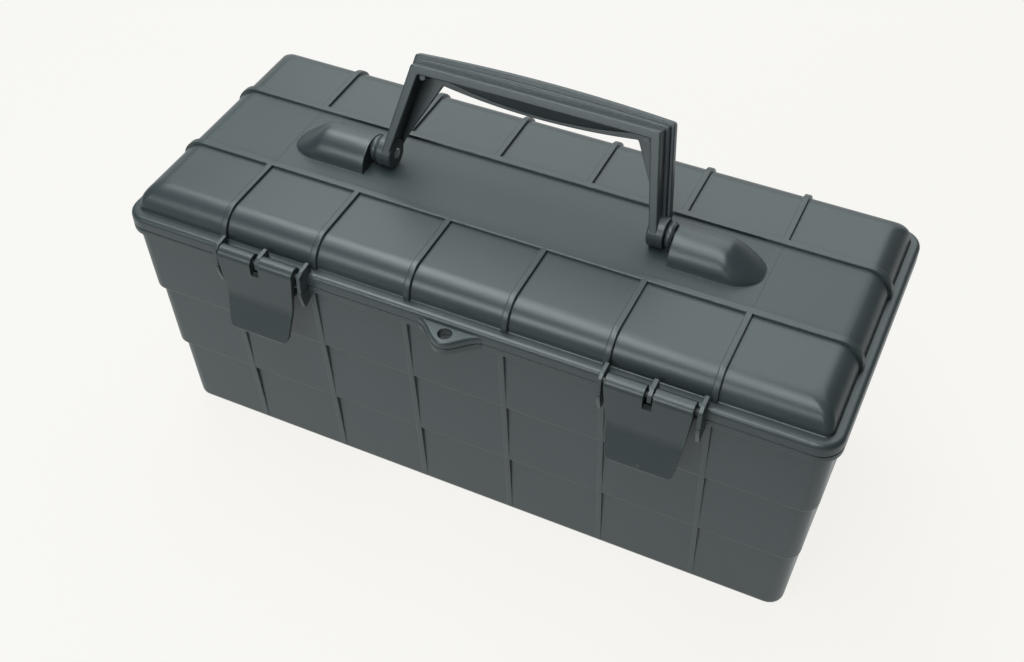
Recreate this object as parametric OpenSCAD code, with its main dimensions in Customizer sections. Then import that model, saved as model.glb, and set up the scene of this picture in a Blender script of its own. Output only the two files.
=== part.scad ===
// Hard tool case: a tapered bin under a shallow domed lid, with two
// front latches, a padlock eye, a folding bail handle and a lift-out tray.
// Origin: middle of the floor. +X right, -Y front, +Z up. Millimetres.

/* [Case] */
// Length of the rim, end to end
case_l = 416; // [346:1:500]
// Depth of the rim, front to back
case_w = 174.4; // [146:0.1:210]
// Height of the bin, floor to parting line
bin_h = 149; // [124:1:179]
// Height of the lid, parting line to top panel
lid_h = 23; // [22:1:28]
// Wall of the mouldings
wall = 2.2; // [1.8:0.1:2.7]
// Taper of the bin's sides, in degrees
draft = 4.2; // [3:0.1:5]
// Open line between lid and bin
parting_gap = 0.4; // [0.3:0.1:0.6]
// Corner radius of the rim, seen from above
rim_r = 13; // [11:1:16]

/* [Bin] */
// Height of the lip under the parting line
lip_h = 4; // [3:0.5:6]
// Overhang of the lip past the ribs, front and back
lip_front = 1; // [0.8:0.1:3]
// Overhang of the lip past the ribs, at the ends
lip_end = 1.4; // [1:0.1:3]
// Height of the upper tier
upper_tier_h = 46; // [38:1:55]
// Height of the middle tier
middle_tier_h = 48; // [40:1:58]
// Step from one tier in to the next
tier_step = 2; // [1.6:0.1:2.4]
// Corner radius of the tiers, seen from above
tier_r = 9; // [8:1:12]
// Rounding of the floor's outer edge
floor_r = 4; // [3:0.5:5]

/* [Ribs] */
// Spacing of the cross ribs
rib_pitch = 57; // [47:1:60]
// Width of a cross rib, or of a rib on the bin
rib_w = 3.6; // [3:0.1:4.5]
// Width of a long rib
long_rib_w = 4.2; // [3.5:0.1:5]
// Distance of the long ribs from the middle line
long_rib_y = 28.9; // [24:0.1:32]
// How far the lid's ribs stand proud
rib_proud = 1.8; // [1.2:0.1:2.2]

/* [Lid] */
// Height of the rim's ledge above the parting line
ledge_h = 8; // [7:0.5:9]
// Width of the ledge, front and back
ledge_front = 7.2; // [6.8:0.1:9]
// Width of the ledge at the ends
ledge_end = 6.2; // [4:0.1:8]
// Rounding of the lid's top edges
dome_r = 13.8; // [11:0.1:14.5]
// Corner radius of the dome, seen from above
dome_corner_r = 4.5; // [4:0.5:8]

/* [Handle] */
// Height of the pivot above the top panel
pivot_h = 9; // [8.8:0.1:9.4]
// Lean of the handle at rest, back from upright, in degrees
handle_lean = 25; // [0:1:40]
// Half the handle's width at its top corners
handle_top_x = 76; // [66:0.1:80]
// Half the handle's width at the pivots
handle_foot_x = 86; // [84:0.1:95]
// Height of the handle's top corners above the pivot
handle_rise = 57; // [50:0.1:69]
// Rise of the grip's back in the middle
grip_arch = 2.6; // [2:0.1:7]
// Depth of the handle, front to back
handle_depth = 17.2; // [14:0.1:17.2]
// Thickness of the handle's walls
handle_wall = 2.5; // [2:0.1:3]
// Radius of the handle's hubs
hub_r = 8.4; // [7.5:0.1:8.5]
// Radius of the handle's pins
handle_pin_r = 2.25; // [1.9:0.05:2.5]
// Radius of the half-round bosses on the lid
boss_r = 15; // [14.5:0.1:17]
// Length of a boss along its crest
boss_l = 30; // [25:1:36]
// Length of a boss's sloping end
boss_slope_l = 20; // [16:1:24]

/* [Latches] */
// Distance of the latches and hinges from the middle
station_x = 113.5; // [104:0.5:118]
// Width of a latch at its knuckle
latch_w = 47; // [40:1:52]
// Width of a latch at its finger edge
latch_tab_w = 37; // [31:0.5:40]
// Drop from the knuckle's axis to the bend
latch_bend_drop = 25; // [20:1:27]
// Drop from the knuckle's axis to the finger edge
latch_drop = 46; // [40:0.5:52]
// How far the finger edge flares forward
latch_flare = 6.2; // [4:0.1:7]
// Thickness of the latch plate
latch_t = 2.6; // [2.2:0.1:3]
// Radius of the latch's knuckle
latch_knuckle_r = 4.8; // [4.2:0.1:5]
// Radius of the latch pins
latch_pin_r = 1.6; // [1.3:0.05:1.9]
// Thickness of the ears beside a latch
ear_t = 2.4; // [2:0.1:3]
// Gap between a latch and the ears beside it
ear_gap = 1.7; // [0.5:0.1:2.5]
// Radius of the padlock eye
eye_r = 4; // [3.3:0.1:4.5]
// Reach of the padlock tab in front of the rim
eye_tab_reach = 12.3; // [12:0.1:14]

/* [Hinges] */
// Width of a hinge
hinge_w = 50; // [42:1:60]
// Radius of the hinge knuckles
hinge_knuckle_r = 4; // [3.6:0.1:4.4]
// Radius of the hinge pins
hinge_pin_r = 1.75; // [1.5:0.05:2]

/* [Tray] */
// Height of the tray's walls
tray_h = 42; // [35:1:48]
// Wall of the tray
tray_wall = 1.8; // [1.5:0.1:2.2]
// Gap between the tray and the bin's wall
tray_gap = 0.9; // [0.7:0.1:1.2]
// Rise of the tray's handle above its walls
tray_handle_rise = 10; // [8:1:12]
// Length of the tray's handle
tray_handle_l = 110; // [95:1:130]
// Share of the tray's depth in front of its middle wall
tray_split = 0.5; // [0.4:0.05:0.6]

/* [Fits] */
// Radial clearance of a pin in its hole
pin_fit = 0.05; // [0.03:0.01:0.1]
// Gap between faces that slide past each other
side_gap = 0.4; // [0.3:0.1:0.6]

/* [Hidden] */
$fn = 64;
hull_fn = 32;
skin = 0.01;

case_grey = "#4a5052";
handle_grey = "#3d4345";
tray_grey = "#54595b";
steel = "#b4b8ba";

// heights
ledge_z = bin_h + ledge_h;
top_z = bin_h + lid_h;
lid_foot_z = bin_h + parting_gap;
lip_z = bin_h - lip_h;
upper_z = lip_z - upper_tier_h;
middle_z = upper_z - middle_tier_h;

// half sizes in plan
rim_x = case_l / 2;
rim_y = case_w / 2;
dome_x = rim_x - ledge_end;
dome_y = rim_y - ledge_front;
taper = tan(draft);
function line_x(z) = rim_x - lip_end - (lip_z - z) * taper;
function line_y(z) = rim_y - lip_front - (lip_z - z) * taper;

// latches, hinges and ribs along the case
rib_places = [-2.5, -1.5, -0.5, 0.5, 1.5, 2.5];
sides = [-1, 1];

// latch knuckle, ears and catch
latch_axis_y = -(rim_y + latch_knuckle_r);
latch_axis_z = ledge_z + 2;
latch_face_y = latch_axis_y - latch_knuckle_r;
ear_x = latch_w / 2 + ear_gap + ear_t / 2;
ear_top_z = latch_axis_z + 4;
ear_front_y = latch_face_y + 1.8;
catch_gap = 0.4;
catch_h = 3.5;
catch_w = 40;
slot_w = 5.2;
slot_drop = 6;
centre_ear_t = 2.6;

// hinge axis
hinge_y = rim_y + hinge_knuckle_r + 1;
hinge_z = bin_h - 1.5;
hinge_mid_w = hinge_w * 0.56;

// padlock tab
eye_y = -(rim_y + eye_tab_reach - 7);
eye_tab_half = 20;
eye_tab_t = 4.6;

// handle: plane coordinates are x, rise above the pivot, and depth from the pivot
pivot_z = top_z + pivot_h;
front_d = 8.7;
back_d = front_d - handle_depth;
layer_step = 1.7;
rim_inset = 4.5;
hub_in_x = handle_foot_x - 8.6;
boss_x = handle_foot_x + 5.2;
collar_x = handle_foot_x + 0.5;
collar_w = 3.8;
collar_r = 7.4;
arch_steps = 12;

// tray
tray_z = upper_z + 0.35;
tray_x = line_x(upper_z) - wall - tray_gap;
tray_y = line_y(upper_z) - wall - tray_gap;
tray_r = tier_r - wall;
tray_top_z = tray_z + tray_h;

// a plate with rounded corners, centred, resting on z = 0
module plate(l, w, h, r) {
    linear_extrude(h) {
        square([l - 2 * r, w], center = true);
        square([l, w - 2 * r], center = true);
        for (x = sides, y = sides)
            translate([x * (l / 2 - r), y * (w / 2 - r)]) circle(r);
    }
}

// a thin slice of a tier at one height
module slice(hx, hy, z, r) {
    translate([0, 0, z]) plate(2 * hx, 2 * hy, skin, r, $fn = hull_fn);
}

// one tier of the bin: flush with the taper line at its foot, one step inside it at its head
module tier(z0, z1, inset, foot_r) {
    hull() {
        slice(line_x(z1) - tier_step - inset, line_y(z1) - tier_step - inset, z1 - skin, tier_r - inset);
        slice(line_x(z0) - inset, line_y(z0) - inset, z0 + foot_r, tier_r - inset);
        slice(line_x(z0) - inset - foot_r * 0.3, line_y(z0) - inset - foot_r * 0.3,
            z0 + foot_r * 0.3, tier_r - inset - foot_r * 0.3);
        slice(line_x(z0) - inset - foot_r, line_y(z0) - inset - foot_r, z0, tier_r - inset - foot_r);
    }
}

// ribs that run straight down the taper line; they show where each tier steps back
module bin_ribs() {
    root = tier_step + wall / 2;
    foot = floor_r;
    for (s = sides) {
        for (p = rib_places) translate([p * rib_pitch, 0, 0])
            mirror([0, s > 0 ? 1 : 0, 0]) rotate([90, 0, 90])
                linear_extrude(rib_w, center = true) polygon([
                    [-line_y(lip_z), lip_z + 1], [-line_y(foot), foot],
                    [-line_y(foot) + root, foot], [-line_y(lip_z) + root, lip_z + 1]]);
        for (y = sides) translate([0, y * long_rib_y, 0])
            mirror([s > 0 ? 1 : 0, 0, 0]) rotate([90, 0, 0])
                linear_extrude(rib_w, center = true) polygon([
                    [-line_x(lip_z), lip_z + 1], [-line_x(foot), foot],
                    [-line_x(foot) + root, foot], [-line_x(lip_z) + root, lip_z + 1]]);
    }
}

// bell-shaped outline of the padlock tab
module eye_outline(reach) {
    steps = 20;
    polygon(concat([[eye_tab_half, -rim_y + 2], [-eye_tab_half, -rim_y + 2]],
        [for (i = [0:steps]) let (x = eye_tab_half * (2 * i / steps - 1))
            [x, -rim_y - reach * (0.5 + 0.5 * cos(180 * x / eye_tab_half))]]));
}

// plate standing across the rim, with its outline given in the side view
module side_plate(x, t, points) {
    translate([x, 0, 0]) rotate([90, 0, 90]) linear_extrude(t, center = true) polygon(points);
}

// ear plates below the parting line, which guard the latch's sides
module bin_ears() {
    for (s = sides, e = sides)
        side_plate(s * station_x + e * ear_x, ear_t, [
            [-rim_y + 3, bin_h], [ear_front_y, bin_h], [ear_front_y, bin_h - 3],
            [ear_front_y + 2.4, bin_h - 11.5], [-line_y(lip_z) + 2.8, lip_z - 4]]);
}

module hinge_knuckle(x0, x1, low) {
    translate([x0, hinge_y, hinge_z]) rotate([0, 90, 0]) cylinder(x1 - x0, r = hinge_knuckle_r);
    translate([x0, rim_y - 1, low ? lip_z : lid_foot_z])
        cube([x1 - x0, hinge_y - rim_y + 1, low ? lip_h : hinge_knuckle_r - parting_gap - 0.5]);
}

module bin_hinges() {
    for (s = sides, e = sides) {
        a = s * station_x + e * (hinge_mid_w / 2 + side_gap);
        b = s * station_x + e * hinge_w / 2;
        hinge_knuckle(min(a, b), max(a, b), true);
    }
}

module hinge_bores() {
    for (s = sides) translate([s * station_x - hinge_w, hinge_y, hinge_z])
        rotate([0, 90, 0]) cylinder(2 * hinge_w, r = hinge_pin_r + pin_fit);
}

module bin() color(case_grey) {
    difference() {
        union() {
            tier(0, middle_z + skin, 0, floor_r);
            tier(middle_z, upper_z + skin, 0, 1.6);
            tier(upper_z, lip_z + skin, 0, 1.6);
            bin_ribs();
            translate([0, 0, lip_z]) plate(case_l, case_w, lip_h, rim_r);
            bead();
            bin_ears();
            bin_hinges();
            translate([0, 0, lip_z]) linear_extrude(lip_h) eye_outline(eye_tab_reach);
        }
        translate([0, 0, wall]) {
            tier(0, middle_z + skin, wall, floor_r - wall / 2);
            tier(middle_z - wall, upper_z - wall + skin, wall, 1);
        }
        tier(upper_z, bin_h + 5, wall, 1);
        hinge_bores();
        translate([0, eye_y, lip_z - 1]) cylinder(lip_h + 2, r = eye_r);
    }
}

// upstanding bead on the bin's flange, which locates the lid's skirt
module bead() {
    bead_w = 1.8;
    bead_h = 2.5;
    inset = wall + 0.8;
    translate([0, 0, bin_h - 1]) difference() {
        plate(case_l - 2 * inset, case_w - 2 * inset, bead_h + 1, rim_r - inset);
        translate([0, 0, -1]) plate(case_l - 2 * (inset + bead_w), case_w - 2 * (inset + bead_w),
            bead_h + 3, rim_r - inset - bead_w);
    }
}

// cross section of the dome: straight sides that roll over into a flat top
module roll(half, r, foot, top) {
    translate([-half, foot - 1]) square([2 * half, top - r - foot + 1]);
    translate([r - half, foot - 1]) square([2 * (half - r), top - foot + 1]);
    for (s = sides) translate([s * (half - r), top - r]) circle(r);
}

// the lid's dome, grown or shrunk all round
module dome(grow) {
    r = dome_r + grow;
    hx = dome_x + grow;
    hy = dome_y + grow;
    foot_z = ledge_z - wall - 1;
    intersection() {
        translate([0, 0, foot_z]) plate(2 * hx, 2 * hy, 2 * lid_h, dome_corner_r + grow);
        rotate([90, 0, 0]) linear_extrude(4 * hy, center = true) roll(hx, r, foot_z, top_z + grow);
        rotate([90, 0, 90]) linear_extrude(4 * hx, center = true) roll(hy, r, foot_z, top_z + grow);
    }
}

// strap ribs: two along the lid, six across each of the outer fields
module lid_ribs() {
    high = lid_h + 10;
    reach = dome_x + rib_proud;
    field_w = dome_y + rib_proud - long_rib_y;
    intersection() {
        dome(rib_proud);
        translate([0, 0, ledge_z - 1]) linear_extrude(high) {
            for (y = sides) translate([0, y * long_rib_y]) square([2 * reach, long_rib_w], center = true);
            for (y = sides, p = rib_places)
                translate([p * rib_pitch, y * (long_rib_y + field_w / 2)])
                    square([rib_w, field_w], center = true);
        }
    }
}

// half-round boss whose far end slopes down to a round nose; trim shrinks it for the hollow
module boss(trim) {
    far_x = boss_x + boss_l + boss_slope_l;
    slope = atan2(boss_r, boss_slope_l);
    r = boss_r - trim;
    nose_r = r / cos(slope);
    low_z = top_z - (trim > 0 ? wall + 1 : wall / 2);
    intersection() {
        translate([boss_x + trim, 0, top_z]) rotate([0, 90, 0]) cylinder(boss_l + boss_slope_l, r = r);
        translate([boss_x, -r, low_z]) cube([2 * boss_l, 2 * r, 2 * boss_r]);
        union() {
            translate([boss_x, -r, low_z]) cube([boss_l - trim, 2 * r, 2 * boss_r]);
            translate([far_x - trim / sin(slope), 0, top_z]) rotate([0, slope - 90, 0])
                translate([-nose_r, 0, -4 * boss_r]) cylinder(8 * boss_r, r = nose_r);
        }
    }
}

module both_bosses(trim) {
    boss(trim);
    mirror([1, 0, 0]) boss(trim);
}

// ear plates on the lid: one on each side of a latch and one in its slot
module lid_ears() {
    top = [[latch_axis_y + 1.2, ear_top_z - 0.6], [ear_front_y + 0.6, ear_top_z - 2.4]];
    back = [[-rim_y + 4.7, ledge_z - 1.5], [-rim_y + 3.8, ear_top_z]];
    tall = concat(back, top,
        [[ear_front_y, lid_foot_z], [-rim_y + 1, lid_foot_z], [-rim_y + 1, ledge_z - 1.5]]);
    short = concat(back, top, [[ear_front_y + 0.4, latch_axis_z - 3.6], [-rim_y + 1, latch_axis_z - 5.2]]);
    for (s = sides) {
        side_plate(s * station_x - ear_x, ear_t, tall);
        side_plate(s * station_x + ear_x, ear_t, tall);
        side_plate(s * station_x, centre_ear_t, short);
    }
}

module latch_pin_bores() {
    for (s = sides) translate([s * station_x - latch_w, latch_axis_y, latch_axis_z])
        rotate([0, 90, 0]) cylinder(2 * latch_w, r = latch_pin_r + pin_fit);
}

module lid() color(case_grey) {
    difference() {
        union() {
            translate([0, 0, lid_foot_z]) plate(case_l, case_w, ledge_h - parting_gap, rim_r);
            dome(0);
            lid_ribs();
            both_bosses(0);
            lid_ears();
            for (s = sides)
                hinge_knuckle(s * station_x - hinge_mid_w / 2, s * station_x + hinge_mid_w / 2, false);
            translate([0, 0, lid_foot_z]) linear_extrude(eye_tab_t) eye_outline(eye_tab_reach);
        }
        translate([0, 0, lid_foot_z - 1])
            plate(case_l - 2 * wall, case_w - 2 * wall, ledge_h - parting_gap - wall + 1, rim_r - wall);
        dome(-wall);
        both_bosses(wall);
        latch_pin_bores();
        hinge_bores();
        translate([0, eye_y, lid_foot_z - 1]) cylinder(eye_tab_t + 2, r = eye_r);
        for (s = sides) translate([s * (boss_x + wall), 0, pivot_z]) rotate([0, 90, 0])
            cylinder(4 * wall, r = handle_pin_r + pin_fit, center = true);
    }
}

// outline of the bail at one depth: two leaning arms and an arched top
function bail_edge(inset, arch) = concat(
    [[-(handle_foot_x - inset), 0]],
    [for (i = [0:arch_steps]) let (t = 2 * i / arch_steps - 1)
        [t * (handle_top_x - inset), handle_rise - inset + arch * (1 - t * t)]],
    [[handle_foot_x - inset, 0]]);
function reversed(list) = [for (i = [len(list) - 1:-1:0]) list[i]];

module bail_band(d0, d1, inset, arch, thick) {
    translate([0, 0, d0]) linear_extrude(d1 - d0)
        polygon(concat(bail_edge(inset, arch), reversed(bail_edge(inset + thick, arch))));
}

// back web of the handle: deep under the grip, narrowing down each arm
module back_web() {
    steps = 10;
    corner_x = handle_top_x - 18.2;
    corner_s = handle_rise - 14.2;
    foot_x = hub_in_x - 2;
    foot_s = hub_r;
    start_s = handle_pin_r + 1.8;
    translate([0, 0, back_d]) linear_extrude(handle_wall)
        polygon(concat(bail_edge(0, grip_arch), [[hub_in_x + 2, 0], [hub_in_x, start_s], [foot_x, foot_s]],
            [for (i = [0:steps]) let (t = 1 - 2 * i / steps)
                [t * corner_x, corner_s - 3.8 * (1 - t * t)]],
            [[-foot_x, foot_s], [-hub_in_x, start_s], [-hub_in_x - 2, 0]]));
}

module handle_hub(s) {
    translate([s > 0 ? hub_in_x : -handle_foot_x, 0, 0]) rotate([0, 90, 0])
        cylinder(handle_foot_x - hub_in_x, r = hub_r);
}

module handle() color(handle_grey) {
    back_end = back_d + 5.4;
    mid_end = back_end + 3.2;
    translate([0, 0, pivot_z]) rotate([90 - handle_lean, 0, 0]) difference() {
        union() {
            bail_band(back_d, back_end, 0, grip_arch, handle_wall + 1);
            bail_band(back_end - skin, mid_end, layer_step, grip_arch * 0.55, handle_wall + 2);
            bail_band(mid_end - skin, front_d, rim_inset - 1, 0.4, handle_wall + 1.2);
            bail_band(front_d - handle_wall, front_d, rim_inset - 1, 0.4, 4.8);
            back_web();
            for (s = sides) handle_hub(s);
        }
        rotate([0, 90, 0]) cylinder(3 * handle_foot_x, r = handle_pin_r + pin_fit, center = true);
    }
}

module along_x(x0, x1, r) {
    translate([x0, 0, 0]) rotate([0, 90, 0]) cylinder(x1 - x0, r = r);
}

// stepped pin, headed inside the arm and flared inside the boss
module handle_pin() color(steel) {
    head_t = 1.4;
    head_r = handle_pin_r + 1;
    translate([0, 0, pivot_z]) {
        along_x(hub_in_x - side_gap / 2 - head_t, hub_in_x - side_gap / 2, head_r);
        along_x(hub_in_x - side_gap, boss_x + wall + 2.4, handle_pin_r);
        along_x(boss_x + wall + 0.3, boss_x + wall + 2.4, head_r);
    }
}

module handle_collar() color(handle_grey) {
    translate([0, 0, pivot_z]) difference() {
        union() {
            along_x(collar_x, collar_x + collar_w, collar_r - 0.8);
            along_x(collar_x + 0.9, collar_x + collar_w - 0.9, collar_r);
        }
        along_x(collar_x - 1, collar_x + collar_w + 1, handle_pin_r + pin_fit);
    }
}

// latch: knuckle over the pin, flat plate down to the bend, flared finger tab
module latch() color(case_grey) {
    bend_z = latch_axis_z - latch_bend_drop;
    low_z = latch_axis_z - latch_drop;
    round_r = 4;
    difference() {
        union() {
            intersection() {
                rotate([90, 0, 90]) linear_extrude(2 * latch_w, center = true) polygon([
                    [latch_face_y, latch_axis_z], [latch_face_y, bend_z], [latch_face_y - latch_flare, low_z],
                    [latch_face_y - latch_flare + latch_t, low_z - 0.8], [latch_face_y + latch_t, bend_z - 0.6],
                    [latch_face_y + latch_t, latch_axis_z]]);
                rotate([90, 0, 0]) linear_extrude(4 * rim_y, center = true) latch_outline(bend_z, low_z, round_r);
            }
            translate([0, latch_axis_y, latch_axis_z]) rotate([0, 90, 0])
                cylinder(latch_w, r = latch_knuckle_r, center = true);
            translate([-catch_w / 2, latch_face_y + latch_t - 0.5, lip_z - catch_gap - catch_h])
                cube([catch_w, -rim_y - catch_gap - latch_face_y - latch_t + 0.5, catch_h]);
        }
        translate([0, latch_axis_y, latch_axis_z]) rotate([0, 90, 0])
            cylinder(2 * latch_w, r = latch_pin_r + pin_fit, center = true);
        translate([-slot_w / 2, latch_face_y - 1, latch_axis_z - slot_drop])
            cube([slot_w, 3 * latch_knuckle_r, slot_drop + 2 * latch_knuckle_r]);
    }
}

module latch_outline(bend_z, low_z, round_r) {
    bend_w = (latch_w + latch_tab_w) / 2;
    for (s = sides) translate([s * (latch_tab_w / 2 - round_r), low_z + round_r - 0.8]) circle(round_r);
    polygon([[-latch_w / 2, latch_axis_z], [-bend_w / 2, bend_z],
        [-latch_tab_w / 2, low_z + round_r], [latch_tab_w / 2, low_z + round_r],
        [bend_w / 2, bend_z], [latch_w / 2, latch_axis_z]]);
    translate([0, low_z + round_r / 2 - 0.8])
        square([latch_tab_w - 2 * round_r, round_r], center = true);
}

module latch_pin() color(steel) {
    translate([0, latch_axis_y, latch_axis_z])
        along_x(-ear_x - ear_t / 2, ear_x + ear_t / 2, latch_pin_r);
}

module hinge_pin() color(steel) {
    translate([0, hinge_y, hinge_z]) along_x(-hinge_w / 2, hinge_w / 2, hinge_pin_r);
}

// cross walls of the tray, as shares of its length: three bays in front, two behind
front_walls = [-1 / 6, 1 / 6];
back_walls = [0.12];

// lift-out tray that rests on the step inside the bin
module tray() color(tray_grey) {
    split_y = -tray_y + 2 * tray_y * tray_split;
    low = tray_h * 0.8;
    translate([0, 0, tray_z]) difference() {
        union() {
            difference() {
                plate(2 * tray_x, 2 * tray_y, tray_h, tray_r);
                translate([0, 0, tray_wall])
                    plate(2 * (tray_x - tray_wall), 2 * (tray_y - tray_wall), tray_h, tray_r - tray_wall);
            }
            translate([-tray_x + 1, split_y - tray_wall / 2, 1])
                cube([2 * tray_x - 2, tray_wall, low - 1]);
            translate([-tray_handle_l / 2, split_y - 3, 1])
                cube([tray_handle_l, 6, tray_h + tray_handle_rise - 1]);
            for (p = front_walls) translate([2 * tray_x * p - tray_wall / 2, -tray_y + 1, 1])
                cube([tray_wall, split_y + tray_y - 1, low - 1]);
            for (p = back_walls) translate([2 * tray_x * p - tray_wall / 2, split_y, 1])
                cube([tray_wall, tray_y - split_y - 1, low - 1]);
        }
        translate([-tray_handle_l / 2 + 7, split_y - 10, low + 1])
            cube([tray_handle_l - 14, 20, tray_h + tray_handle_rise - low - 7]);
    }
}

bin();
lid();
handle();
mirror([1, 0, 0]) handle_pin();  // handle_pin_left
handle_pin();  // handle_pin_right
mirror([1, 0, 0]) handle_collar();  // handle_collar_left
handle_collar();  // handle_collar_right
translate([-station_x, 0, 0]) latch();  // latch_left
translate([station_x, 0, 0]) latch();  // latch_right
translate([-station_x, 0, 0]) latch_pin();  // latch_pin_left
translate([station_x, 0, 0]) latch_pin();  // latch_pin_right
translate([-station_x, 0, 0]) hinge_pin();  // hinge_pin_left
translate([station_x, 0, 0]) hinge_pin();  // hinge_pin_right
tray();
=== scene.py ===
"""Hard tool case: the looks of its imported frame, laid out as an add-on.

Lengths inside the piece builders are in millimetres, in the frame's own
axes: +X right, -Y front, +Z up, origin in the middle of the floor.
"""

from math import atan2, cos, hypot, pi, radians, sin, sqrt, tan

import bmesh
import bpy
from bpy.props import FloatProperty, FloatVectorProperty, PointerProperty
from mathutils import Matrix, Vector


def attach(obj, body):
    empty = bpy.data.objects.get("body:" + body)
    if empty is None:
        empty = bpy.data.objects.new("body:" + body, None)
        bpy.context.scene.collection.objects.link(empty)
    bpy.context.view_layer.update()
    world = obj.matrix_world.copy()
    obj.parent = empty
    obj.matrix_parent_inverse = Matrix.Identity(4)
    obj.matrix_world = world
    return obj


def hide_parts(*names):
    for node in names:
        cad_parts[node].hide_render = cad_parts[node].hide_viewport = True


bl_info = {
    "name": "Hard tool case",
    "version": (1, 0, 0),
    "blender": (4, 5, 0),
    "location": "3D View > Sidebar > Tool case",
    "description": "Builds a ribbed plastic tool case with latches, bail handle and tray",
    "category": "Add Mesh",
}

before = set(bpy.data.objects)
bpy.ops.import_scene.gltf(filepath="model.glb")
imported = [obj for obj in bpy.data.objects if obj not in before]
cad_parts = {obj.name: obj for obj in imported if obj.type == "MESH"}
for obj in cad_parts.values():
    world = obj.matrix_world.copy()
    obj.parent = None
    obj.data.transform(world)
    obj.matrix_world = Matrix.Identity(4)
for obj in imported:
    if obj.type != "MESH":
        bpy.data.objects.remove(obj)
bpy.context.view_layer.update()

MM = 0.001
SIDES = (-1, 1)

# heights
MIDDLE_Z, UPPER_Z, LIP_Z, PARTING_Z = 51.0, 99.0, 145.0, 149.0
SKIRT_Z, LEDGE_Z, TOP_Z = 149.4, 157.0, 172.0
# plan sizes, from the middle
RIM_X, RIM_Y, RIM_R = 208.0, 87.2, 13.0
DOME_X, DOME_Y, DOME_CORNER = 201.8, 80.0, 4.5
WALL = 2.2
TIER_R, TIER_STEP = 9.0, 2.0
TAPER = tan(radians(4.2))
LONG_RIB_Y = 28.9
# latches, ears, hinges and padlock eye: stations and axes
STATION_X = 113.5
LATCH_Y, LATCH_Z, KNUCKLE_R, LATCH_BORE_R = -92.0, 159.0, 4.8, 1.65
BEND_Z, LOW_Z, FLARE = LATCH_Z - 25, LATCH_Z - 46, 6.2
EAR_X, EAR_T, EAR_TOP, EAR_FRONT = 26.4, 2.4, 163.0, -95.0
HINGE_Y, HINGE_Z, HINGE_R = 92.2, 147.5, 4.0
EYE_Y, EYE_R, EYE_HALF, EYE_REACH = -92.5, 4.0, 20.0, 12.3
# handle: the depths D run forward from the pivot's plane
PIVOT_Z = 181.0
LEAN = radians(25)
FOOT_X, GRIP_X, RISE = 86.0, 76.0, 57.0
HUB_IN, HUB_R, PIN_R, BORE_R = 77.4, 8.4, 2.25, 2.35
FRONT_D, BACK_D, WEB_D = 8.7, -8.5, -6.0
# insets of the channel's inner wall and of the web's edge in the section
ARM_IN, WEB_IN = 6.8, 18.0
# the web's corner, across and down from the grip's, and its edge's sag in the middle
WEB_X, WEB_S, WEB_SAG = 18.2, 14.2, 3.8
BOSS_X, BOSS_R, BOSS_L, BOSS_SLOPE = 91.2, 15.0, 30.0, 20.0
# tray
TRAY_X, TRAY_Y, TRAY_Z, TRAY_H, TRAY_R, TRAY_WALL = 200.1, 79.7, 99.35, 42.0, 6.8, 1.8
# shading: faces that meet at more than this many degrees keep a crisp edge
SHARP_ANGLE = 32
# stage colours
PALE, PAPER, LAMP, ROOM = "#f6f4f0", "#eef2f1", "#eef8f8", "#e8eaec"


# ---- outlines and solids, in millimetres ----

def arc(cx, cy, r, start, end, steps):
    """Points on a circle from one angle to another, in degrees."""
    return [(cx + r * cos(radians(start + (end - start) * i / steps)),
             cy + r * sin(radians(start + (end - start) * i / steps))) for i in range(steps + 1)]


def rounded_rectangle(hx, hy, r):
    """Outline of a rectangle with round corners, given as half sizes."""
    r, steps = max(r, 0.05), 8
    return (arc(hx - r, hy - r, r, 0, 90, steps) + arc(r - hx, hy - r, r, 90, 180, steps)
            + arc(r - hx, r - hy, r, 180, 270, steps) + arc(hx - r, r - hy, r, 270, 360, steps))


def oblong(u0, v0, u1, v1):
    """Outline of a rectangle between two opposite corners."""
    return [(u0, v0), (u1, v0), (u1, v1), (u0, v1)]


def level(hx, hy, r, z):
    """A rounded rectangle at one height."""
    return [(x, y, z) for x, y in rounded_rectangle(hx, hy, r)]


def loft(rings, closed=False):
    """Skin over rings of equal length: (corners, faces). It is capped unless closed."""
    n = len(rings[0])
    corners = [p for ring in rings for p in ring]
    count = len(rings)
    faces = []
    for k in range(count if closed else count - 1):
        a, b = k * n, ((k + 1) % count) * n
        faces += [(a + i, a + (i + 1) % n, b + (i + 1) % n, b + i) for i in range(n)]
    if not closed:
        faces.append(tuple(range(n - 1, -1, -1)))
        faces.append(tuple(range((count - 1) * n, count * n)))
    return corners, faces


def together(*solids):
    """Several solids as one list of corners and faces."""
    corners, faces = [], []
    for more, loops in solids:
        base = len(corners)
        corners += more
        faces += [tuple(base + i for i in loop) for loop in loops]
    return corners, faces


def mirrored(solid):
    """The solid, mirrored left to right, with its faces turned to match."""
    return [(-x, y, z) for x, y, z in solid[0]], [loop[::-1] for loop in solid[1]]


def shrunk(loop, by):
    """A closed outline with every side moved inwards."""
    area = sum(a[0] * b[1] - b[0] * a[1] for a, b in zip(loop, loop[1:] + loop[:1]))
    turn = 1 if area > 0 else -1
    result = []
    for i, (x, y) in enumerate(loop):
        (ax, ay), (bx, by_) = loop[i - 1], loop[(i + 1) % len(loop)]
        ux, uy = x - ax, y - ay
        vx, vy = bx - x, by_ - y
        lu, lv = hypot(ux, uy) or 1, hypot(vx, vy) or 1
        nx, ny = -(uy / lu + vy / lv) * turn, (ux / lu + vx / lv) * turn
        size = max(nx * nx + ny * ny, 0.6)
        result.append((x + 2 * by * nx / size, y + 2 * by * ny / size))
    return result


def ramp(r, steps):
    """Quarter round of an edge as (rise, inset) pairs."""
    return [(r * (1 - cos(radians(90 * i / steps))), r * (1 - sin(radians(90 * i / steps))))
            for i in range(steps + 1)]


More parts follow.
